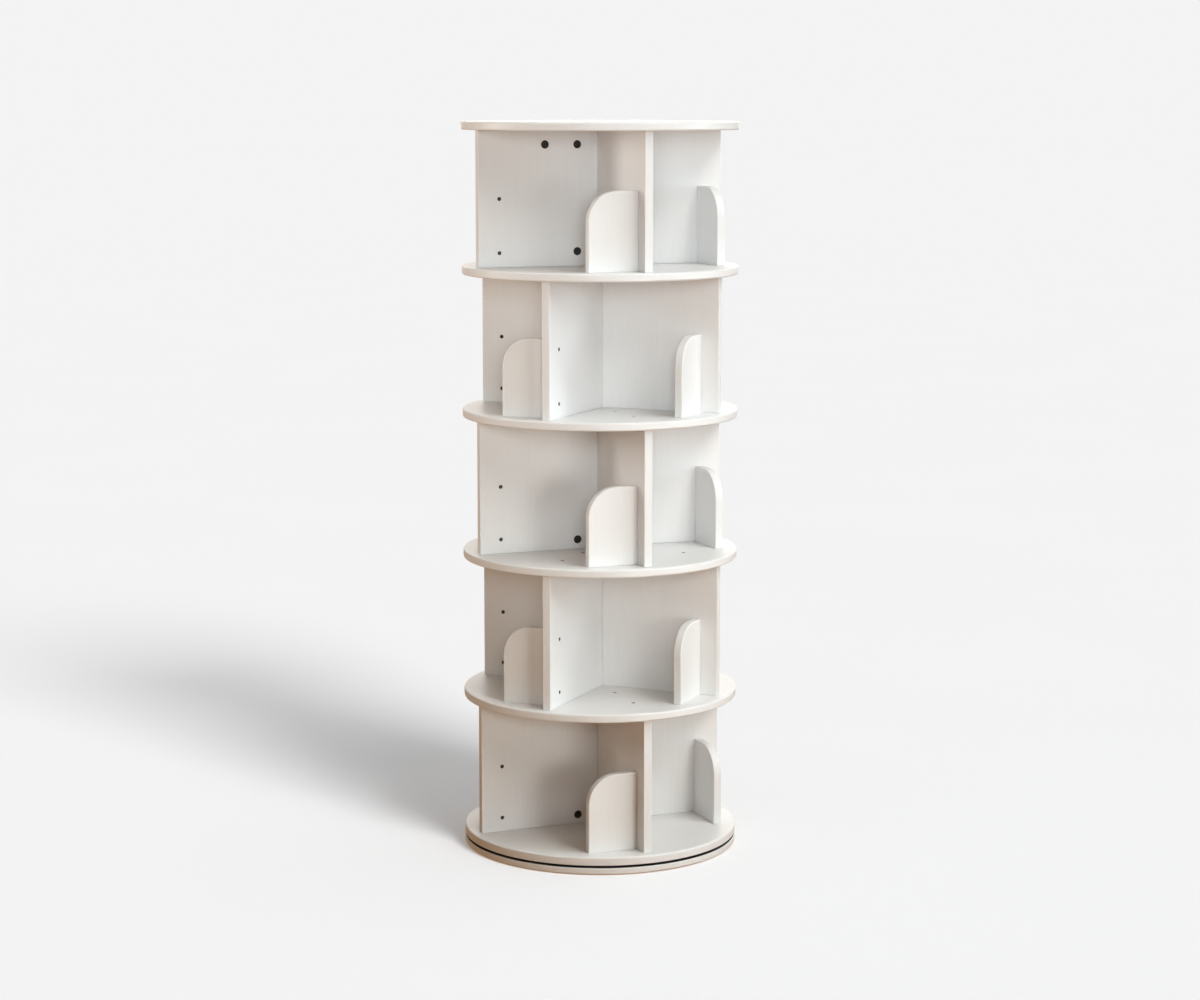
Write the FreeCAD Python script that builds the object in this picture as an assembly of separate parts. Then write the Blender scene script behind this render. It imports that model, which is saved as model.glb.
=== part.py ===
import FreeCAD, Part
import math
import os

# Five-tier revolving bookcase, free-standing on the floor.
# Millimetres. +Z up, origin on the floor at the turning axis.
# Odd tiers have their cross of panels along X and Y, even tiers are
# turned by 45 degrees.  -Y is the front.

V = FreeCAD.Vector

# ---------------------------------------------------------------- sizes
board_t = 15.0            # all boards except the base
disc_r = 250.0            # every round board
disc_edge = 3.0           # rounding of the round boards' rims
slot_edge = 1.2           # rounding of the two rims beside the slot
tiers = 5
tier_clear = 243.0        # clear height between two round boards
pitch = tier_clear + board_t

pad_t = 1.0               # felt pads under the base
pad_r = 15.0
pad_ring_r = 205.0
pad_n = 6
base_t = 12.0
gap = 4.5                 # visible slot between base and bottom board

arm_len = 234.0           # axis to outer end of a panel
arm_edge = 1.2            # rounding of the panels' edges
half_t = board_t / 2.0

bookend_r = 194.5         # centre plane of a bookend along its arm
bookend_w = 92.5          # from the panel's face outwards
bookend_h = 140.0
bookend_corner = 54.0     # large rounded corner
bookend_edge = 2.0        # rounding of its rim
bookend_seat = 0.8        # rounding of the edges at its foot and at the panel
bookend_screw_z = (25.5, 121.5)

# screws: head radius, shank radius, length, socket size, socket depth
panel_screw = (4.0, 2.5, 45.0, 4.0, 2.4)
bookend_screw = (3.6, 2.3, 40.0, 3.0, 2.0)
ring_screw = (3.5, 1.75, 10.0, 2.0, 1.2)
ring_screw_up = (3.5, 1.75, 12.0, 2.0, 1.2)
recess = 0.4              # heads sit this far below the surface
hole_play = 0.05
screw_r = (75.0, 165.0)   # along each arm

cam_r = 7.4               # cam lock body
cam_pocket_r = 7.5
cam_pocket_d = 12.5
cam_inset = 26.0          # cam centre from the panel's edge, top tier
cam_inset_low = 17.0      # the same in the other tiers
cam_side_r = 46.5         # cams that pull a half panel to the long one
cam_top_r = 108.0         # cams that pull the top board down
bolt_r = 3.0
bolt_neck_r = 1.8
bolt_head_r = 3.5

dowel_r = 4.0
centre_dowel_l = 54.0
top_dowel_l = 29.5
top_dowel_r = 185.0

# turntable bearing
ring_out = 120.0
ring_in = 61.5
ring_t = 2.5
pocket_d = 2.25           # sunk this far into each board
pocket_r = ring_out + 0.5
ball_r = 3.0
ball_circle = 90.0
ball_n = 24
cage_in, cage_out, cage_t = 82.0, 98.0, 2.0
ring_screw_r = 106.0
access_r = 6.0            # hole that reaches the upper ring's screws

# ---------------------------------------------------------------- levels
z_base = pad_t
z_base_top = z_base + base_t
z_bottom = z_base_top + gap
z_floor_1 = z_bottom + board_t
z_ring_low = z_base_top - pocket_d
z_ring_top = z_bottom + pocket_d
z_mid = (z_ring_low + z_ring_top) / 2.0


def tier_floor(n):
    return z_floor_1 + (n - 1) * pitch


def tier_turn(n):
    return 0.0 if n % 2 else -45.0


# ---------------------------------------------------------------- helpers
def moved(shape, x=0.0, y=0.0, z=0.0):
    s = shape.copy()
    s.translate(V(x, y, z))
    return s


def turned(shape, deg, axis=V(0, 0, 1)):
    s = shape.copy()
    s.rotate(V(0, 0, 0), axis, deg)
    return s


def revolved(points):
    vs = [V(r, 0, z) for r, z in points]
    face = Part.Face(Part.makePolygon(vs + [vs[0]]))
    return face.revolve(V(0, 0, 0), V(0, 0, 1), 360)


def screw(spec):
    """Countersunk screw: top of the head at z = 0, shank down."""
    rh, rs, length, flats, depth = spec
    body = revolved([(0, 0), (rh, 0), (rh, -0.4), (rs, -0.4 - (rh - rs)),
                     (rs, -length + 2.5), (0.5, -length), (0, -length)])
    r = flats / math.sqrt(3.0)
    pts = [V(r * math.cos(math.radians(60 * k)), r * math.sin(math.radians(60 * k)), -depth)
           for k in range(6)]
    socket = Part.Face(Part.makePolygon(pts + [pts[0]])).extrude(V(0, 0, depth + 1))
    return body.cut(socket)


def screw_hole(spec, sink=recess):
    """Room for the same screw, with its head `sink` under the surface."""
    rh, rs, length, _, _ = spec
    c = hole_play
    return revolved([(0, sink + 0.6), (rh + c, sink + 0.6), (rh + c, -0.4),
                     (rs + c, -0.4 - (rh - rs)), (rs + c, -length + 2.5),
                     (0.5 + c, -length - c), (0, -length - c)])


def round_board(z, t, low=disc_edge, high=disc_edge):
    """Round board with its own rounding on the lower and the upper rim."""
    disc = Part.makeCylinder(disc_r, t, V(0, 0, z))
    for level, edge in ((z, low), (z + t, high)):
        rims = [e for e in disc.Edges if isinstance(e.Curve, Part.Circle)
                and abs(e.BoundBox.ZMin - level) < 0.01 and abs(e.BoundBox.ZMax - level) < 0.01]
        disc = disc.makeFillet(edge, rims)
    return disc


def cam():
    """Cam lock: axis along +Y, face at y = half_t - 0.2, slot towards +Z."""
    face_y = half_t - 0.2
    back_y = half_t - cam_pocket_d + 0.05
    body = Part.makeCylinder(cam_r, face_y - back_y, V(0, back_y, 0), V(0, 1, 0))
    rims = [e for e in body.Edges if isinstance(e.Curve, Part.Circle)]
    body = body.makeChamfer(0.5, rims)
    room = Part.makeCylinder(4.6, 7.6, V(0, -3.8, 0), V(0, 1, 0))
    slot = Part.makeBox(4.4, 4.4, 9.0, V(-2.2, -2.2, 0))
    bar_a = Part.makeBox(9.0, 2.2, 1.8, V(-4.5, face_y - 2.0, -0.9))
    bar_b = Part.makeBox(1.8, 2.2, 9.0, V(-0.9, face_y - 2.0, -4.5))
    return body.cut([room, slot, bar_a, bar_b])


def cam_pocket():
    return Part.makeCylinder(cam_pocket_r, cam_pocket_d + 1.0,
                             V(0, half_t - cam_pocket_d, 0), V(0, 1, 0))


def bolt_end():
    """One end of a cam bolt along +Z with the head's centre at z = 0."""
    return revolved([(0, -1.5), (bolt_head_r - 0.5, -1.5), (bolt_head_r, -1.0),
                     (bolt_head_r, 1.0), (bolt_head_r - 0.5, 1.5), (bolt_neck_r, 1.5),
                     (bolt_neck_r, 8.0), (0, 8.0)])


# ---------------------------------------------------------------- hole tools
# Every tool stands in an arm's own frame: x outwards along the arm,
# y out of its counter-clockwise face, z = 0 on the tier's floor.
def arm_bookend_tool(grow=True):
    tools = []
    for z in bookend_screw_z:
        s = screw_hole(bookend_screw) if grow else screw(bookend_screw)
        s = turned(s, -90, V(1, 0, 0))
        tools.append(moved(s, bookend_r, half_t - recess, z))
    return tools


def arm_up_tool(n, grow=True):
    """Screws from under a round board into the panel that stands on it."""
    tools = []
    for r in screw_r:
        sunk = n == 1 and r < pocket_r
        z = -board_t + recess + (pocket_d if sunk else 0.0)
        s = screw_hole(panel_screw) if grow else screw(panel_screw)
        s = turned(s, 180, V(1, 0, 0))
        tools.append(moved(s, r, 0, z))
    return tools


def arm_down_tool(grow=True):
    """Screws from the top of a round board into the panel below it."""
    tools = []
    for r in screw_r:
        s = screw_hole(panel_screw) if grow else screw(panel_screw)
        tools.append(moved(s, r, 0, pitch - recess))
    return tools


def side_cam_place(shape, z):
    """Cam of a half panel, with its slot towards the axis."""
    return moved(turned(shape, -90, V(0, 1, 0)), cam_side_r, 0, z)


def side_cam_levels(n):
    inset = cam_inset if n == tiers else cam_inset_low
    return inset, tier_clear - inset


def side_cam_pockets(n):
    out = []
    for z in side_cam_levels(n):
        out.append(side_cam_place(cam_pocket(), z))
        out.append(Part.makeCylinder(bolt_r + 0.1, cam_side_r - half_t + 1.0,
                                     V(half_t - 1.0, 0, z), V(1, 0, 0)))
    return out


def top_cam_pocket(flip=False):
    p = cam_pocket()
    if flip:
        p = turned(p, 180)
    z = tier_clear - cam_inset
    return [moved(p, cam_top_r, 0, z),
            Part.makeCylinder(bolt_r + 0.1, cam_inset + 1.0, V(cam_top_r, 0, z))]


def top_bolt():
    end = bolt_end()
    rod = Part.makeCylinder(bolt_r, cam_inset - 8.0 + 11.0, V(0, 0, 8.0))
    collar_cut = Part.makeCylinder(bolt_r, 0.01, V(0, 0, 8.0))
    return moved(end.fuse(rod).fuse(collar_cut).removeSplitter(),
                 cam_top_r, 0, tier_clear - cam_inset)


def side_bolt(z):
    """Double-ended bolt through the long panel, from cam to cam, along x."""
    end = bolt_end()
    a = moved(turned(end, -90, V(0, 1, 0)), cam_side_r, 0, 0)
    b = moved(turned(end, 90, V(0, 1, 0)), -cam_side_r, 0, 0)
    half = cam_side_r - 8.0
    rod = Part.makeCylinder(bolt_r, 2 * half, V(-half, 0, 0), V(1, 0, 0))
    return moved(rod.fuse([a, b]).removeSplitter(), 0, 0, z)


def top_dowel(r_extra=0.0, l_extra=0.0):
    l = top_dowel_l + l_extra
    return Part.makeCylinder(dowel_r + r_extra, l, V(top_dowel_r, 0, tier_clear - 20.0 - l_extra / 2))


def centre_dowel(r_extra=0.0, l_extra=0.0):
    l = centre_dowel_l + l_extra
    s = Part.makeCylinder(dowel_r + r_extra, l, V(-l / 2, 0, tier_clear / 2.0), V(1, 0, 0))
    return s


# ---------------------------------------------------------------- pieces
nodes = {}

# base and pads
base = round_board(z_base, base_t, high=slot_edge)
base_cuts = [Part.makeCylinder(pocket_r, pocket_d + 1.0, V(0, 0, z_ring_low))]
lower_screws = []
upper_screws = []
upper_cuts = []
for k in range(4):
    a = 90.0 * k
    s = turned(moved(screw(ring_screw), ring_screw_r, 0, z_ring_low + ring_t), a)
    c = turned(moved(screw_hole(ring_screw, 0.0), ring_screw_r, 0, z_ring_low + ring_t), a)
    lower_screws.append(s)
    base_cuts.append(c)
    s = turned(screw(ring_screw_up), 180, V(1, 0, 0))
    c = turned(screw_hole(ring_screw_up, 0.0), 180, V(1, 0, 0))
    upper_screws.append(turned(moved(s, ring_screw_r, 0, z_ring_top - ring_t), a + 45))
    upper_cuts.append(turned(moved(c, ring_screw_r, 0, z_ring_top - ring_t), a + 45))
access = turned(Part.makeCylinder(access_r, base_t + 4.0, V(ring_screw_r, 0, z_base - 2.0)), 45)
base = base.cut(base_cuts + [access])
nodes["base_board"] = [base]
nodes["foot_pads"] = [turned(Part.makeCylinder(pad_r, pad_t, V(pad_ring_r, 0, 0)), 360.0 / pad_n * k)
                      for k in range(pad_n)]

# bearing: the lower ring's inner collar is rolled over the upper ring's
# stepped inner margin, so the two halves stay together when lifted
zl, zt = z_ring_low, z_ring_top
lower_ring = revolved([
    (ring_in, zl), (ring_out, zl), (ring_out, zl + ring_t), (ring_in + 2.5, zl + ring_t),
    (ring_in + 2.5, zt - 2.35), (ring_in + 8.5, zt - 2.35), (ring_in + 8.5, zt - 0.75),
    (ring_in, zt - 0.75)])
upper_ring = revolved([
    (ring_in + 4.5, zt - 4.75), (ring_in + 12.5, zt - 4.75), (ring_in + 12.5, zt - ring_t),
    (ring_out, zt - ring_t), (ring_out, zt), (ring_in + 10.5, zt),
    (ring_in + 10.5, zt - 2.75), (ring_in + 4.5, zt - 2.75)])
groove = Part.makeTorus(ball_circle, ball_r + 0.05, V(0, 0, z_mid))
lower_ring = lower_ring.cut([groove, access] +
                            [turned(moved(screw_hole(ring_screw, 0.0), ring_screw_r, 0, zl + ring_t), 90.0 * k)
                             for k in range(4)])
upper_ring = upper_ring.cut([groove] + upper_cuts)
nodes["turntable_lower_ring"] = [lower_ring]
nodes["turntable_upper_ring"] = [upper_ring]
cage = Part.makeCylinder(cage_out, cage_t, V(0, 0, z_mid - cage_t / 2)).cut(
    Part.makeCylinder(cage_in, cage_t + 2, V(0, 0, z_mid - cage_t / 2 - 1)))
balls = []
seats = []
for k in range(ball_n):
    a = math.radians(360.0 / ball_n * k + 3.0)
    p = V(ball_circle * math.cos(a), ball_circle * math.sin(a), z_mid)
    balls.append(Part.makeSphere(ball_r, p))
    seats.append(Part.makeCylinder(ball_r + 0.15, cage_t + 2, p - V(0, 0, cage_t / 2 + 1)))
nodes["turntable_ball_cage"] = [cage.cut(seats)]
nodes["turntable_balls"] = balls
nodes["turntable_lower_screws"] = lower_screws
nodes["turntable_upper_screws"] = upper_screws

# round boards of the tower, from the bottom up
boards = [round_board(z_bottom, board_t, low=slot_edge)]
board_cuts = [[Part.makeCylinder(pocket_r, pocket_d + 1.0, V(0, 0, z_bottom - 1.0))] + upper_cuts]
for n in range(1, tiers + 1):
    boards.append(round_board(tier_floor(n) + tier_clear, board_t))
    board_cuts.append([])

up_screws, down_screws, bookend_screws = [], [], []
cams, side_bolts, top_bolts, dowels = [], [], [], []

arm_names = {0: "right", 90: "rear", 180: "left", 270: "front",
             -45: "front_right", 45: "rear_right", 135: "rear_left", 225: "front_left"}

for n in range(1, tiers + 1):
    z0 = tier_floor(n)
    turn = tier_turn(n)
    top = n == tiers

    def place(shape, arm):
        return moved(turned(shape, arm + turn), 0, 0, z0)

    # panels: the long one lies along local Y, the half ones along local X
    long_panel = Part.makeBox(2 * arm_len, board_t, tier_clear, V(-arm_len, -half_t, 0))
    long_panel = turned(long_panel.makeFillet(arm_edge, long_panel.Edges), 90)
    half_panel = Part.makeBox(arm_len - half_t, board_t, tier_clear, V(half_t, -half_t, 0))
    half_panel = half_panel.makeFillet(arm_edge, half_panel.Edges)

    for arm in (0, 90, 180, 270):
        up_screws += [place(s, arm) for s in arm_up_tool(n, False)]
        board_cuts[n - 1] += [place(s, arm) for s in arm_up_tool(n)]
        bookend_screws += [place(s, arm) for s in arm_bookend_tool(False)]
        if not top:
            down_screws += [place(s, arm) for s in arm_down_tool(False)]
            board_cuts[n] += [place(s, arm) for s in arm_down_tool()]

    edge_tools = arm_up_tool(n) + arm_bookend_tool()
    if not top:
        edge_tools += arm_down_tool()
    half_cuts = edge_tools + side_cam_pockets(n) + [centre_dowel(0.03, 1.0)]
    long_cuts = []
    for arm in (90, 270):
        long_cuts += [turned(s, arm) for s in edge_tools]
    for z in side_cam_levels(n):
        long_cuts.append(Part.makeCylinder(bolt_r + 0.1, 4 * half_t, V(-2 * half_t, 0, z), V(1, 0, 0)))
    long_cuts.append(centre_dowel(0.03, 1.0))
    if top:
        half_cuts += top_cam_pocket() + [top_dowel(0.03, 1.0)]
        long_cuts += [turned(s, 270) for s in top_cam_pocket() + [top_dowel(0.03, 1.0)]]
        long_cuts += [turned(s, 90) for s in top_cam_pocket(True) + [top_dowel(0.03, 1.0)]]
        for arm in (0, 90, 180, 270):
            c = cam()
            if arm == 90:
                c = turned(c, 180)
            cams.append(place(moved(c, cam_top_r, 0, tier_clear - cam_inset), arm))
            top_bolts.append(place(top_bolt(), arm))
            dowels.append(place(top_dowel(), arm))
            board_cuts[n] += [place(Part.makeCylinder(bolt_r + 0.03, 12.5, V(cam_top_r, 0, tier_clear - 1.0)), arm),
                              place(Part.makeCylinder(dowel_r + 0.03, 11.0, V(top_dowel_r, 0, tier_clear - 1.0)), arm)]
    for arm in (0, 180):
        cams += [place(side_cam_place(cam(), z), arm) for z in side_cam_levels(n)]
    side_bolts += [place(side_bolt(z), 0) for z in side_cam_levels(n)]
    dowels.append(place(centre_dowel(), 0))

    nodes["tier_%d_long_panel" % n] = [place(long_panel.cut(long_cuts), 0)]
    half = half_panel.cut(half_cuts)
    for arm in (0, 180):
        side = arm_names[arm + int(turn)]
        nodes["tier_%d_half_panel_%s" % (n, side)] = [place(half, arm)]

    # bookends on the clockwise side of every arm
    x0 = bookend_r - half_t
    y0, y1 = -half_t, -half_t - bookend_w
    c = bookend_corner
    m = c * (1 - math.sqrt(0.5))
    outline = Part.Wire([
        Part.LineSegment(V(x0, y0, 0), V(x0, y1, 0)).toShape(),
        Part.LineSegment(V(x0, y1, 0), V(x0, y1, bookend_h - c)).toShape(),
        Part.Arc(V(x0, y1, bookend_h - c), V(x0, y1 + m, bookend_h - m), V(x0, y1 + c, bookend_h)).toShape(),
        Part.LineSegment(V(x0, y1 + c, bookend_h), V(x0, y0, bookend_h)).toShape(),
        Part.LineSegment(V(x0, y0, bookend_h), V(x0, y0, 0)).toShape()])
    bookend = Part.Face(outline).extrude(V(board_t, 0, 0))
    rim = []
    for e in bookend.Edges:
        b = e.BoundBox
        flat = b.XLength < 0.01
        on_foot = b.ZMax < 0.01
        on_panel = b.YLength < 0.01 and abs(b.YMax - y0) < 0.01
        if flat and not on_foot and not on_panel:
            rim.append(e)
    bookend = bookend.makeFillet(bookend_edge, rim)
    seat = []
    for e in bookend.Edges:
        b = e.BoundBox
        if b.ZMax < 0.01 or (b.YLength < 0.01 and abs(b.YMax - y0) < 0.01):
            seat.append(e)
    bookend = bookend.makeFillet(bookend_seat, seat)
    bookend = bookend.cut(arm_bookend_tool())
    for arm in (0, 90, 180, 270):
        side = arm_names.get(arm + int(turn))
        nodes["tier_%d_bookend_%s" % (n, side)] = [place(bookend, arm)]

board_names = ["bottom_board"] + ["shelf_board_%d" % k for k in range(1, tiers)] + ["top_board"]
for name, board, cuts in zip(board_names, boards, board_cuts):
    nodes[name] = [board.cut(cuts)]

nodes["shelf_screws_upward"] = up_screws
nodes["shelf_screws_downward"] = down_screws
nodes["bookend_screws"] = bookend_screws
nodes["cam_locks"] = cams
nodes["side_cam_bolts"] = side_bolts
nodes["top_cam_bolts"] = top_bolts
nodes["dowels"] = dowels

# ---------------------------------------------------------------- export
os.makedirs("parts", exist_ok=True)
for name, shapes in nodes.items():
    solids = []
    for s in shapes:
        solids += s.Solids
    for s in solids:
        if not s.isValid() or s.Volume <= 0:
            print("BAD SOLID", name)
    shape = solids[0] if len(solids) == 1 else Part.makeCompound(solids)
    shape.exportStep("parts/%s.step" % name)
    print("%-34s %3d solid(s) %12.1f mm3" % (name, len(solids), sum(s.Volume for s in solids)))
print(len(nodes), "nodes")
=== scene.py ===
import math
import bpy
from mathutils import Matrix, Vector

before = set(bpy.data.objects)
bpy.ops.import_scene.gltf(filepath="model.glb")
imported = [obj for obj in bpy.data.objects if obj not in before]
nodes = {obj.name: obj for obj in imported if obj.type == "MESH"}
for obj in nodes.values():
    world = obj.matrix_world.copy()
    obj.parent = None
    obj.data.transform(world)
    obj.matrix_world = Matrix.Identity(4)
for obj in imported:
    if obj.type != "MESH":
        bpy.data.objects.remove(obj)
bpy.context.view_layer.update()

scene = bpy.context.scene

# ------------------------------------------------------------------ sizes
BOARD_T = 0.015
DISC_R = 0.250
ARM = 0.234
TIER_CLEAR = 0.243
PITCH = 0.258
FLOOR_1 = 0.0325


def tier_floor(n):
    return FLOOR_1 + (n - 1) * PITCH


# ------------------------------------------------------------------ camera
AZ = math.radians(21.218)
CAM_D, CAM_H = 4.8354, 1.367
PITCH_DOWN = 0.13688
FOCAL_PX = 2672.0
cam_data = bpy.data.cameras.new("camera")
cam = bpy.data.objects.new("camera", cam_data)
scene.collection.objects.link(cam)
cam_data.sensor_width = 36.0
cam_data.lens = 36.0 * FOCAL_PX / 1200.0
cam_data.shift_y = -0.03
cam_data.clip_start = 0.05
cam_data.clip_end = 200.0
cam_data.dof.use_dof = False
cam.location = (-CAM_D * math.sin(AZ), -CAM_D * math.cos(AZ), CAM_H)
look = Vector((math.sin(AZ) * math.cos(PITCH_DOWN), math.cos(AZ) * math.cos(PITCH_DOWN), -math.sin(PITCH_DOWN)))
cam.rotation_mode = "QUATERNION"
cam.rotation_quaternion = look.to_track_quat("-Z", "Y")
scene.camera = cam

scene.view_settings.view_transform = "Standard"
scene.view_settings.look = "None"
scene.view_settings.exposure = 0.0
scene.view_settings.gamma = 1.0


# ------------------------------------------------------------------ node helper
class Tree:
    """Small helper that adds nodes to a material's tree and links them."""

    def __init__(self, name):
        self.mat = bpy.data.materials.new(name)
        self.mat.use_nodes = True
        self.t = self.mat.node_tree
        self.t.nodes.clear()
        self.out = self.t.nodes.new("ShaderNodeOutputMaterial")
        self.bsdf = self.t.nodes.new("ShaderNodeBsdfPrincipled")
        self.t.links.new(self.bsdf.outputs[0], self.out.inputs[0])

    def node(self, kind, **props):
        n = self.t.nodes.new("ShaderNode" + kind)
        for k, v in props.items():
            setattr(n, k, v)
        return n

    def put(self, socket, value):
        if isinstance(value, bpy.types.NodeSocket):
            self.t.links.new(value, socket)
        else:
            socket.default_value = value

    def math(self, op, a, b=None, c=None, clamp=False):
        n = self.node("Math", operation=op, use_clamp=clamp)
        for i, v in enumerate((a, b, c)):
            if v is not None:
                self.put(n.inputs[i], v)
        return n.outputs[0]

    def vec(self, op, a, b=None, scale=None):
        n = self.node("VectorMath", operation=op)
        self.put(n.inputs[0], a)
        if b is not None:
            self.put(n.inputs[1], b)
        if scale is not None:
            self.put(n.inputs["Scale"], scale)
        return n.outputs["Value"] if op in ("LENGTH", "DISTANCE", "DOT_PRODUCT") else n.outputs[0]

    def mapping(self, v, loc=(0, 0, 0), rot=(0, 0, 0), scale=(1, 1, 1)):
        n = self.node("Mapping", vector_type="POINT")
        self.put(n.inputs["Vector"], v)
        n.inputs["Location"].default_value = loc
        n.inputs["Rotation"].default_value = rot
        n.inputs["Scale"].default_value = scale
        return n.outputs[0]

    def coords(self):
        return self.node("TexCoord").outputs["Object"]

    def xyz(self, v):
        n = self.node("SeparateXYZ")
        self.put(n.inputs[0], v)
        return n.outputs[0], n.outputs[1], n.outputs[2]

    def join(self, x, y, z):
        n = self.node("CombineXYZ")
        for i, v in enumerate((x, y, z)):
            self.put(n.inputs[i], v)
        return n.outputs[0]

    def noise(self, v, scale, detail=3.0, rough=0.55, distort=0.0):
        n = self.node("TexNoise")
        self.put(n.inputs["Vector"], v)
        n.inputs["Scale"].default_value = scale
        n.inputs["Detail"].default_value = detail
        n.inputs["Roughness"].default_value = rough
        n.inputs["Distortion"].default_value = distort
        return n.outputs[0]

    def ramp(self, f, lo, hi, out_lo=0.0, out_hi=1.0, kind="SMOOTHSTEP"):
        n = self.node("MapRange", interpolation_type=kind)
        self.put(n.inputs["Value"], f)
        n.inputs["From Min"].default_value = lo
        n.inputs["From Max"].default_value = hi
        n.inputs["To Min"].default_value = out_lo
        n.inputs["To Max"].default_value = out_hi
        return n.outputs["Result"]

    def mix(self, f, a, b):
        n = self.node("Mix", data_type="RGBA", blend_type="MIX")
        self.put(n.inputs["Factor"], f)
        self.put(n.inputs[6], a)
        self.put(n.inputs[7], b)
        return n.outputs[2]

    def bump(self, height, strength, distance, normal=None):
        n = self.node("Bump")
        n.inputs["Strength"].default_value = strength
        n.inputs["Distance"].default_value = distance
        self.put(n.inputs["Height"], height)
        if normal is not None:
            self.put(n.inputs["Normal"], normal)
        return n.outputs[0]

    def set(self, **kw):
        for k, v in kw.items():
            self.put(self.bsdf.inputs[k.replace("_", " ")], v)


# ------------------------------------------------------------------ lacquered boards
WHITE = (0.784, 0.778, 0.773, 1.0)
WHITE_LOW = (0.760, 0.752, 0.746, 1.0)
# painted highlight: a slightly lighter colour for the rounded edges, standing in for light caught there
EDGE_HIGHLIGHT = (0.790, 0.787, 0.784, 1.0)
# painted shade: near-black for the two board faces inside the slot, standing in for the shade there
SLOT_SHADE = (0.016, 0.014, 0.012, 1.0)
SLOT_SHADE_LOW = (0.008, 0.007, 0.006, 1.0)


def lacquer(name, seed, turn, grain, edge, shaded_face_z=None):
    """Satin lacquer over a fine-grained board.
    turn: the piece's own angle about Z in degrees; grain: the axis that the grain runs along, in the
    piece's own frame; edge: a function that gives the distance to the nearest edge there, where a painted
    highlight lightens the colour; the last argument: a height in the piece's own frame whose face, up to
    the rounded rim, is painted near-black, painted shade for the dark slot."""
    m = Tree(name)
    p = m.coords()
    if turn:
        p = m.mapping(p, rot=(0, 0, math.radians(-turn)))
    off = (1.37 * seed % 5.0, 2.11 * seed % 5.0, 0.73 * seed % 5.0)
    q = m.mapping(p, loc=off)
    along = 0.05
    scale = [1.0, 1.0, 1.0]
    scale["xyz".index(grain)] = along
    g = m.mapping(q, scale=tuple(scale))
    fibre = m.noise(g, 210.0, 4.0, 0.62, 0.15)
    fine = m.noise(g, 760.0, 2.0, 0.6)
    scale["xyz".index(grain)] = 0.16
    broad = m.noise(m.mapping(q, scale=tuple(scale)), 17.0, 2.0, 0.5, 0.9)
    peel = m.noise(q, 520.0, 2.0, 0.5)
    cloud = m.noise(q, 5.5, 2.0, 0.5)

    tone = m.math("MULTIPLY_ADD", fibre, 0.50, m.math("MULTIPLY_ADD", fine, 0.22, m.math("MULTIPLY", broad, 0.26)))
    tone = m.math("MULTIPLY_ADD", cloud, 0.10, tone)
    colour = m.mix(m.ramp(tone, 0.38, 0.70), WHITE_LOW, WHITE)

    # painted highlight: near the rounded edges the colour turns lighter, as if light caught them; the roughness also
    # rises a little there
    d = edge(m, p)
    jitter = m.math("MULTIPLY_ADD", m.noise(q, 60.0, 3.0, 0.6), 0.0022, -0.0011)
    near = m.ramp(m.math("ADD", d, jitter), 0.0006, 0.0042, 1.0, 0.0)
    colour = m.mix(m.math("MULTIPLY", near, 0.5), colour, EDGE_HIGHLIGHT)

    # painted shade: the face at this height, inside the rounded rim, is coloured near-black, standing in for the
    # shade in the slot
    if shaded_face_z is not None:
        x, y, z = m.xyz(p)
        inside = m.ramp(m.vec("LENGTH", m.join(x, y, 0.0)), DISC_R - 0.0014, DISC_R - 0.0008, 1.0, 0.0)
        face = m.ramp(m.math("ABSOLUTE", m.math("SUBTRACT", z, shaded_face_z)), 0.00005, 0.0003, 1.0, 0.0)
        colour = m.mix(m.math("MULTIPLY", inside, face), colour, m.mix(fibre, SLOT_SHADE_LOW, SLOT_SHADE))

    rough = m.math("MULTIPLY_ADD", fibre, 0.16, 0.36)
    rough = m.math("MULTIPLY_ADD", cloud, 0.10, rough)
    rough = m.math("MULTIPLY_ADD", near, 0.06, rough)

    height = m.math("MULTIPLY_ADD", fibre, 0.7, m.math("MULTIPLY_ADD", fine, 0.35, m.math("MULTIPLY", peel, 0.35)))
    normal = m.bump(height, 0.20, 0.00020)
    m.set(Base_Color=colour, Roughness=rough, Normal=normal)
    m.bsdf.inputs["Specular IOR Level"].default_value = 0.42
    m.bsdf.inputs["Coat Weight"].default_value = 0.18
    m.bsdf.inputs["Coat Roughness"].default_value = 0.32
    return m.mat


def disc_edge(z0, z1):
    def f(m, p):
        x, y, z = m.xyz(p)
        dr = m.math("SUBTRACT", DISC_R, m.vec("LENGTH", m.join(x, y, 0.0)))
        half = (z1 - z0) / 2
        dz = m.math("SUBTRACT", half, m.math("ABSOLUTE", m.math("SUBTRACT", z, z0 + half)))
        return m.math("MAXIMUM", dr, dz)
    return f


def arm_edge(axis):
    """Outer upright edges of a panel that lies along that axis of its own frame."""
    def f(m, p):
        x, y, z = m.xyz(p)
        u, w = (x, y) if axis == "x" else (y, x)
        du = m.math("SUBTRACT", ARM, m.math("ABSOLUTE", u))
        dw = m.math("SUBTRACT", BOARD_T / 2, m.math("ABSOLUTE", w))
        return m.math("MAXIMUM", du, dw)
    return f


def bookend_edge(z0):
    """Own frame: x out along the arm, y towards the counter-clockwise side; the outline is rounded at the far top."""
    def f(m, p):
        x, y, z = m.xyz(p)
        a = m.math("MAXIMUM", m.math("SUBTRACT", -0.046, y), 0.0)
        b = m.math("MAXIMUM", m.math("SUBTRACT", z, z0 + 0.086), 0.0)
        d = m.math("SUBTRACT", 0.054, m.vec("LENGTH", m.join(a, b, 0.0)))
        w = m.math("SUBTRACT", BOARD_T / 2, m.math("ABSOLUTE", m.math("SUBTRACT", x, 0.1945)))
        return m.math("MAXIMUM", d, w)
    return f


def paint(node, mat):
    o = nodes[node]
    o.data.materials.clear()
    o.data.materials.append(mat)


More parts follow.
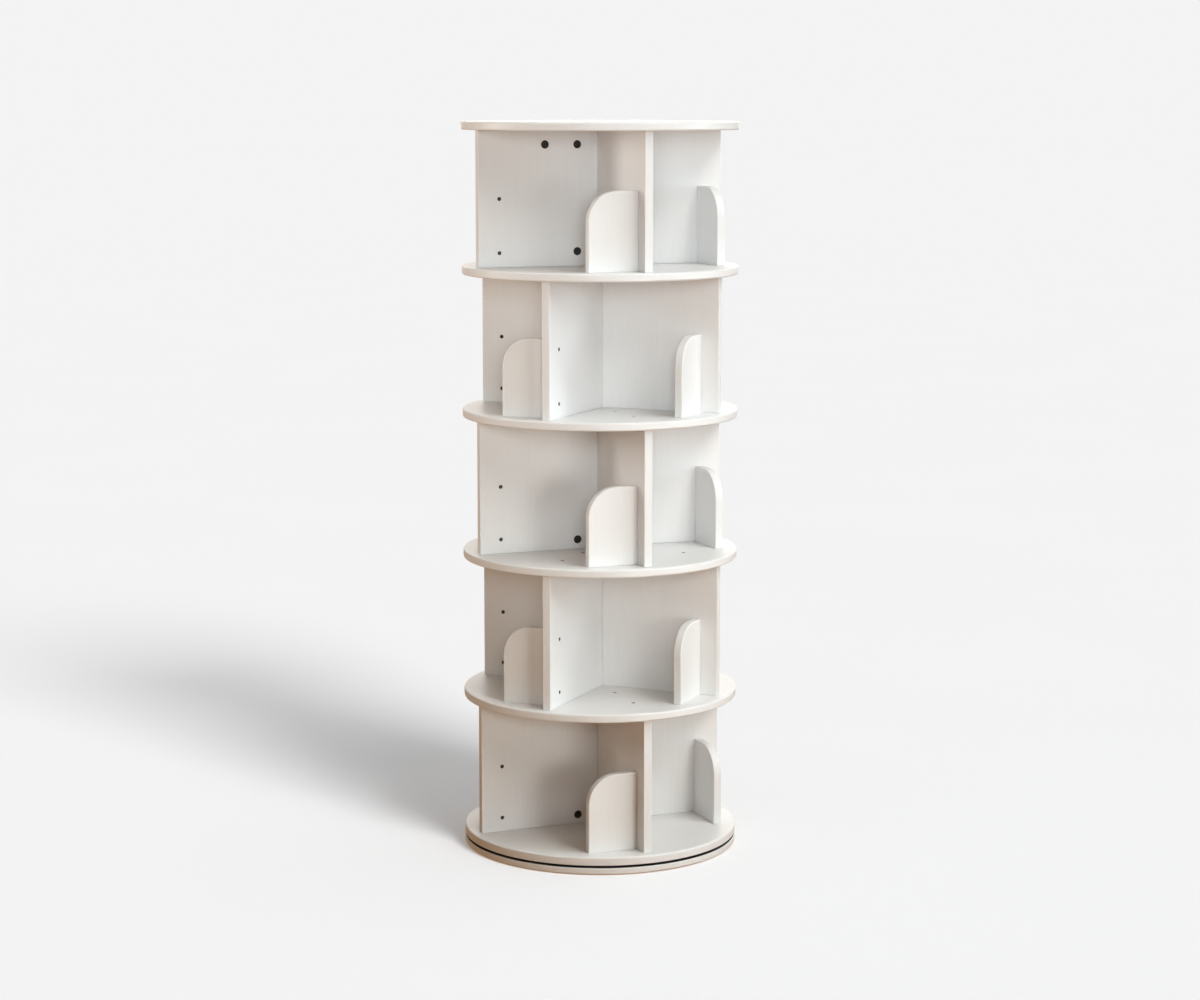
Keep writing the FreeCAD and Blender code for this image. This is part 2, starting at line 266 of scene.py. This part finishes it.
seed = 1
boards = [("base_board", 0.001, 0.013), ("bottom_board", 0.0175, 0.0325)]
boards += [("shelf_board_%d" % n, tier_floor(n) + TIER_CLEAR, tier_floor(n) + PITCH) for n in (1, 2, 3, 4)]
boards += [("top_board", tier_floor(5) + TIER_CLEAR, tier_floor(5) + PITCH)]
for name, z0, z1 in boards:
    shaded_face_z = {"base_board": z1, "bottom_board": z0}.get(name)     # painted shade: the two faces inside the slot are coloured near-black
    paint(name, lacquer("lacquer_" + name, seed, 0, "x", disc_edge(z0, z1), shaded_face_z))
    seed += 1

ARMS = {0: "right", 90: "rear", 180: "left", 270: "front", -45: "front_right", 45: "rear_right",
        135: "rear_left", 225: "front_left"}
for n in range(1, 6):
    turn = 0 if n % 2 else -45
    paint("tier_%d_long_panel" % n, lacquer("lacquer_tier_%d_long_panel" % n, seed, turn, "z", arm_edge("y")))
    seed += 1
    for arm in (0, 180):
        name = "tier_%d_half_panel_%s" % (n, ARMS[arm + turn])
        paint(name, lacquer("lacquer_" + name, seed, turn, "z", arm_edge("x")))
        seed += 1
    for arm in (0, 90, 180, 270):
        name = "tier_%d_bookend_%s" % (n, ARMS[arm + turn])
        paint(name, lacquer("lacquer_" + name, seed, arm + turn, "z", bookend_edge(tier_floor(n))))
        seed += 1


# ------------------------------------------------------------------ small parts
def metal(name, dark, light, rough, bump=0.10, scale=900.0, metallic=1.0, spec=0.5):
    m = Tree(name)
    p = m.coords()
    grain = m.noise(p, scale, 3.0, 0.6)
    cloud = m.noise(p, scale / 14.0, 2.0, 0.5)
    tone = m.math("MULTIPLY_ADD", grain, 0.5, m.math("MULTIPLY", cloud, 0.5))
    m.set(Base_Color=m.mix(m.ramp(tone, 0.36, 0.64), dark, light),
          Roughness=m.math("MULTIPLY_ADD", grain, 0.16, m.math("MULTIPLY_ADD", cloud, 0.14, rough - 0.15)),
          Normal=m.bump(tone, bump, 0.00008))
    m.bsdf.inputs["Metallic"].default_value = metallic
    m.bsdf.inputs["Specular IOR Level"].default_value = spec
    return m.mat


screw_mat = metal("black_screw", (0.008, 0.008, 0.008, 1), (0.024, 0.023, 0.022, 1), 0.42, metallic=0.0, spec=0.5)
cam_mat = metal("black_cam", (0.006, 0.006, 0.006, 1), (0.020, 0.019, 0.018, 1), 0.48, metallic=0.0, spec=0.4)
zinc_mat = metal("zinc", (0.46, 0.47, 0.48, 1), (0.68, 0.69, 0.70, 1), 0.34)
ball_mat = metal("bearing_steel", (0.56, 0.56, 0.57, 1), (0.66, 0.66, 0.67, 1), 0.18, bump=0.03)


def ring_metal(name):
    """Pressed steel ring with turning marks round the axis."""
    m = Tree(name)
    p = m.coords()
    x, y, z = m.xyz(p)
    r = m.vec("LENGTH", m.join(x, y, 0.0))
    marks = m.noise(m.join(m.math("MULTIPLY", r, 1.0), m.math("MULTIPLY", z, 1.0), 0.0), 2600.0, 3.0, 0.6)
    cloud = m.noise(p, 40.0, 3.0, 0.6)
    tone = m.math("MULTIPLY_ADD", marks, 0.6, m.math("MULTIPLY", cloud, 0.4))
    m.set(Base_Color=m.mix(m.ramp(tone, 0.35, 0.65), (0.42, 0.43, 0.44, 1), (0.64, 0.65, 0.66, 1)),
          Roughness=m.math("MULTIPLY_ADD", tone, 0.24, 0.20), Normal=m.bump(marks, 0.16, 0.00006))
    m.bsdf.inputs["Metallic"].default_value = 1.0
    return m.mat


ring_mat = ring_metal("zinc_ring")


def plastic(name):
    m = Tree(name)
    p = m.coords()
    g = m.noise(p, 420.0, 3.0, 0.6)
    c = m.noise(p, 30.0, 2.0, 0.5)
    m.set(Base_Color=m.mix(m.ramp(c, 0.3, 0.7), (0.010, 0.010, 0.011, 1), (0.020, 0.020, 0.022, 1)),
          Roughness=m.math("MULTIPLY_ADD", g, 0.18, 0.40), Normal=m.bump(g, 0.12, 0.00008))
    return m.mat


def felt(name):
    m = Tree(name)
    p = m.coords()
    f = m.noise(p, 1500.0, 5.0, 0.75, 0.6)
    c = m.noise(p, 180.0, 3.0, 0.6)
    tone = m.math("MULTIPLY_ADD", f, 0.6, m.math("MULTIPLY", c, 0.4))
    m.set(Base_Color=m.mix(m.ramp(tone, 0.35, 0.65), (0.19, 0.182, 0.170, 1), (0.31, 0.300, 0.280, 1)),
          Roughness=m.math("MULTIPLY_ADD", f, 0.08, 0.88), Normal=m.bump(f, 0.6, 0.0003))
    m.bsdf.inputs["Sheen Weight"].default_value = 0.3
    m.bsdf.inputs["Sheen Roughness"].default_value = 0.5
    return m.mat


def beech(name):
    m = Tree(name)
    p = m.coords()
    g = m.noise(m.mapping(p, scale=(1, 1, 0.15)), 700.0, 3.0, 0.6)
    fleck = m.noise(p, 1700.0, 2.0, 0.5)
    tone = m.math("MULTIPLY_ADD", g, 0.7, m.math("MULTIPLY", fleck, 0.3))
    m.set(Base_Color=m.mix(m.ramp(tone, 0.35, 0.65), (0.46, 0.28, 0.16, 1), (0.66, 0.45, 0.28, 1)),
          Roughness=m.math("MULTIPLY_ADD", g, 0.14, 0.58), Normal=m.bump(tone, 0.3, 0.00012))
    return m.mat


paint("foot_pads", felt("felt"))
paint("turntable_lower_ring", ring_mat)
paint("turntable_upper_ring", ring_mat)
paint("turntable_ball_cage", plastic("cage_plastic"))
paint("turntable_balls", ball_mat)
paint("dowels", beech("beech"))
for name in ("turntable_lower_screws", "turntable_upper_screws", "side_cam_bolts", "top_cam_bolts"):
    paint(name, zinc_mat)
for name in ("bookend_screws", "shelf_screws_upward", "shelf_screws_downward"):
    paint(name, screw_mat)
paint("cam_locks", cam_mat)

# ------------------------------------------------------------------ studio
FLOOR_ALBEDO = 0.96
SKY = (0.090, 0.052, 0.010)   # upper half of the surroundings
GROUND = (0.43, 0.240, 0.120) # lower half, as the object sees it
AMBIENT = 0.475               # soft light on the floor, SKY and two domes together
KEY = 0.17                    # light that falls on floor and object alike
KEY_EL, KEY_SIDE = 36.0, 14.0
FLOOR_KEY = 0.461             # two more on the floor alone: one a little lower, one well above it
FLOOR_EL, FLOOR_SIDE = 33.0, 13.0
FLOOR_HIGH = 0.129
HIGH_EL = 60.0
FULL = FLOOR_ALBEDO * (AMBIENT + KEY * math.sin(math.radians(KEY_EL)) + FLOOR_KEY * math.sin(math.radians(FLOOR_EL))
                       + FLOOR_HIGH * math.sin(math.radians(HIGH_EL)))


def toward(side, el):
    """Unit vector to a light: degrees to the right of the front, degrees up."""
    a, e = math.radians(side), math.radians(el)
    return Vector((math.sin(a) * math.cos(e), -math.cos(a) * math.cos(e), math.sin(e)))


mesh = bpy.data.meshes.new("floor")
S = 90.0
mesh.from_pydata([(-S, -S, 0), (S, -S, 0), (S, S, 0), (-S, S, 0)], [], [(0, 1, 2, 3)])
floor = bpy.data.objects.new("floor", mesh)
scene.collection.objects.link(floor)
fm = Tree("floor_paper")
fn = fm.noise(fm.coords(), 1.4, 2.0, 0.5)
v = FLOOR_ALBEDO
fx, fy, fz = fm.xyz(fm.coords())
fr = fm.vec("LENGTH", fm.join(fx, fy, 0.0))
paper = fm.mix(fm.ramp(fn, 0.3, 0.7), (v * 0.997, v * 0.997, v * 0.997, 1), (v * 1.003, v * 1.003, v * 1.003, 1))
# the boards throw warm light on the floor next to them; the paper is a little cooler there
close = fm.math("MULTIPLY", fm.math("POWER", fm.math("MULTIPLY_ADD", fr, fr, 0.81), -1.5), 0.729)
fm.set(Base_Color=fm.mix(close, paper, (v * 1.010, v * 1.027, v * 1.041, 1)))
fm.bsdf.inputs["Roughness"].default_value = 1.0
fm.bsdf.inputs["Specular IOR Level"].default_value = 0.0
far = fm.node("Emission")             # as bright as the backdrop
far.inputs["Color"].default_value = (1.0, 1.0, 1.0, 1.0)
far.inputs["Strength"].default_value = FULL
fade = fm.node("MixShader")           # the sheet fades into the backdrop, so that no horizon is seen
fm.put(fade.inputs[0], fm.ramp(fr, 6.0, 22.0, 0.0, 0.985))
fm.put(fade.inputs[1], fm.bsdf.outputs[0])
fm.put(fade.inputs[2], far.outputs[0])
fm.put(fm.out.inputs[0], fade.outputs[0])
fm.mat.cycles.emission_sampling = "NONE"
mesh.materials.append(fm.mat)
floor.visible_diffuse = False
floor.visible_glossy = False
floor.visible_shadow = False

only_floor = bpy.data.collections.new("lit_floor")
only_floor.objects.link(floor)
only_object = bpy.data.collections.new("lit_object")
for o in nodes.values():
    only_object.objects.link(o)

world = bpy.data.worlds.new("studio")
scene.world = world
world.use_nodes = True
wt = world.node_tree
wt.nodes.clear()
w_out = wt.nodes.new("ShaderNodeOutputWorld")
w_light = wt.nodes.new("ShaderNodeBackground")
w_dir = wt.nodes.new("ShaderNodeTexCoord")
w_xyz = wt.nodes.new("ShaderNodeSeparateXYZ")
w_ramp = wt.nodes.new("ShaderNodeMapRange")
w_ramp.interpolation_type = "SMOOTHSTEP"
w_ramp.inputs["From Min"].default_value = -0.10
w_ramp.inputs["From Max"].default_value = 0.06
w_col = wt.nodes.new("ShaderNodeMix")
w_col.data_type = "RGBA"
w_col.inputs[6].default_value = GROUND + (1.0,)
w_col.inputs[7].default_value = SKY + (1.0,)
wt.links.new(w_dir.outputs["Generated"], w_xyz.inputs[0])
wt.links.new(w_xyz.outputs[2], w_ramp.inputs["Value"])
wt.links.new(w_ramp.outputs["Result"], w_col.inputs["Factor"])
wt.links.new(w_col.outputs[2], w_light.inputs["Color"])
w_seen = wt.nodes.new("ShaderNodeBackground")
w_seen.inputs["Color"].default_value = (1.0, 1.0, 1.0, 1.0)
w_seen.inputs["Strength"].default_value = FULL
w_mix = wt.nodes.new("ShaderNodeMixShader")
w_path = wt.nodes.new("ShaderNodeLightPath")
wt.links.new(w_path.outputs["Is Camera Ray"], w_mix.inputs[0])
wt.links.new(w_light.outputs[0], w_mix.inputs[1])
wt.links.new(w_seen.outputs[0], w_mix.inputs[2])
wt.links.new(w_mix.outputs[0], w_out.inputs[0])


def sun(name, direction, strength, angle, colour=(1.0, 1.0, 1.0), only=None, blockers=None):
    data = bpy.data.lights.new(name, "SUN")
    data.energy = strength * math.pi
    data.angle = math.radians(angle)
    data.color = colour
    lamp = bpy.data.objects.new(name, data)
    scene.collection.objects.link(lamp)
    lamp.rotation_mode = "QUATERNION"
    lamp.rotation_quaternion = direction.to_track_quat("Z", "Y")
    lamp.location = tuple(4.0 * c for c in direction)
    if only is not None:
        lamp.light_linking.receiver_collection = only
    if blockers is not None:
        lamp.light_linking.blocker_collection = blockers


def spot(name, side, el, dist, aim_z, half, strength, radius, colour=(1.0, 1.0, 1.0), only=None):
    """Soft-edged lamp whose light reaches `strength` where it is aimed."""
    data = bpy.data.lights.new(name, "SPOT")
    data.energy = strength * math.pi * 4.0 * math.pi * dist * dist
    data.spot_size = math.radians(2.0 * half)
    data.spot_blend = 1.0
    data.shadow_soft_size = radius
    data.color = colour
    lamp = bpy.data.objects.new(name, data)
    scene.collection.objects.link(lamp)
    d = toward(side, el)
    lamp.rotation_mode = "QUATERNION"
    lamp.rotation_quaternion = d.to_track_quat("Z", "Y")
    lamp.location = tuple(d[i] * dist + (0.0, 0.0, aim_z)[i] for i in range(3))
    if only is not None:
        lamp.light_linking.receiver_collection = only


sun("key", toward(KEY_SIDE, KEY_EL), KEY, 17.0)
sun("floor_key", toward(FLOOR_SIDE, FLOOR_EL), FLOOR_KEY, 20.0, only=only_floor)
sun("floor_high", toward(FLOOR_SIDE, HIGH_EL), FLOOR_HIGH, 20.0, only=only_floor)
dome = tuple(AMBIENT - c for c in SKY)
sun("floor_dome", Vector((0.0, 0.0, 1.0)), 0.5, 180.0, dome, only=only_floor)
sun("floor_wash", Vector((0.0, 0.0, 1.0)), 0.5, 180.0, dome, only=only_floor, blockers=only_floor)

sun("key_high", toward(24.0, 55.0), 0.170, 20.0, (0.96, 1.0, 0.96), only=only_object)
sun("key_right", toward(49.0, 55.0), 0.237, 20.0, (0.98, 1.0, 0.98), only=only_object)
sun("soft_right", toward(49.0, 18.0), 0.252, 60.0, (0.80, 1.0, 1.12), only=only_object)
sun("soft_back", toward(159.0, 20.0), 0.52, 60.0, (1.0, 0.985, 0.96), only=only_object)
sun("overhead", Vector((0.0, 0.0, 1.0)), 0.17, 36.0, (1.05, 1.0, 0.94), only=only_object)
spot("fill_left", -111.0, 5.0, 3.2, 1.15, 20.0, 0.446, 0.5, (1.01, 1.0, 0.96), only=only_object)
spot("fill_front", -21.0, 5.0, 3.2, 1.15, 20.0, 0.395, 0.5, (0.90, 1.0, 1.05), only=only_object)
spot("fill_right", 64.0, 5.0, 3.2, 1.15, 20.0, 0.254, 0.5, (0.84, 1.0, 1.09), only=only_object)
spot("fill_low", 9.0, 5.0, 3.2, 0.35, 16.0, 0.255, 0.5, (0.96, 1.0, 0.96), only=only_object)
